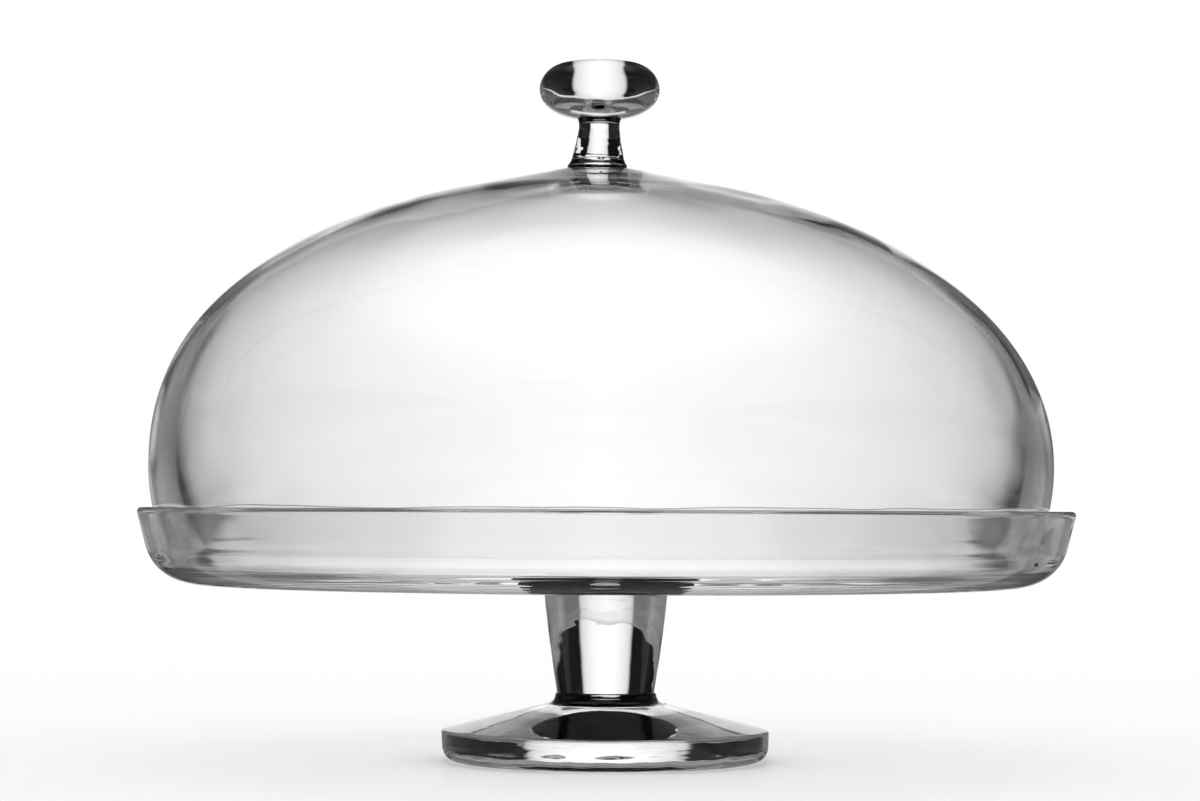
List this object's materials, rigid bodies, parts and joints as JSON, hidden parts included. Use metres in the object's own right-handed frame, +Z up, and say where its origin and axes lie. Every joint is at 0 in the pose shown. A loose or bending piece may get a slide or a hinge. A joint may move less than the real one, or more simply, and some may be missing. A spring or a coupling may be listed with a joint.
{
  "type": "cake stand with dome",
  "caption": "Clear glass cake plate with a raised wall on a solid stem and a round foot, under a lift-off glass dome with a flattened ball knob.",
  "frame": {"origin": "middle of the foot's underside, where the stand meets the table", "axes": "+Z up along the axis that the foot, stem, plate, dome and knob share; X and Y are alike"},
  "size_m": [0.32, 0.32, 0.2398],
  "materials": {
    "foot_glass": "clear, fire polished",
    "stem_glass": "clear, fire polished",
    "plate_glass": "clear, fire polished",
    "dome_glass": "clear, mouth blown, edge ground and polished",
    "knob_glass": "clear, fire polished"
  },
  "bodies": {
    "stand": {"foot": "foot_glass", "stem_collar": "stem_glass", "stem": "stem_glass", "plate": "plate_glass"},
    "cover": {"dome": "dome_glass", "knob_collar": "knob_glass", "knob_neck": "knob_glass", "knob": "knob_glass"}
  },
  "joints": [
    {"name": "dome_lift", "type": "slide", "parent": "stand", "child": "cover", "axis": [0, 0, 1], "range_m": [0, 0.2]}
  ]
}
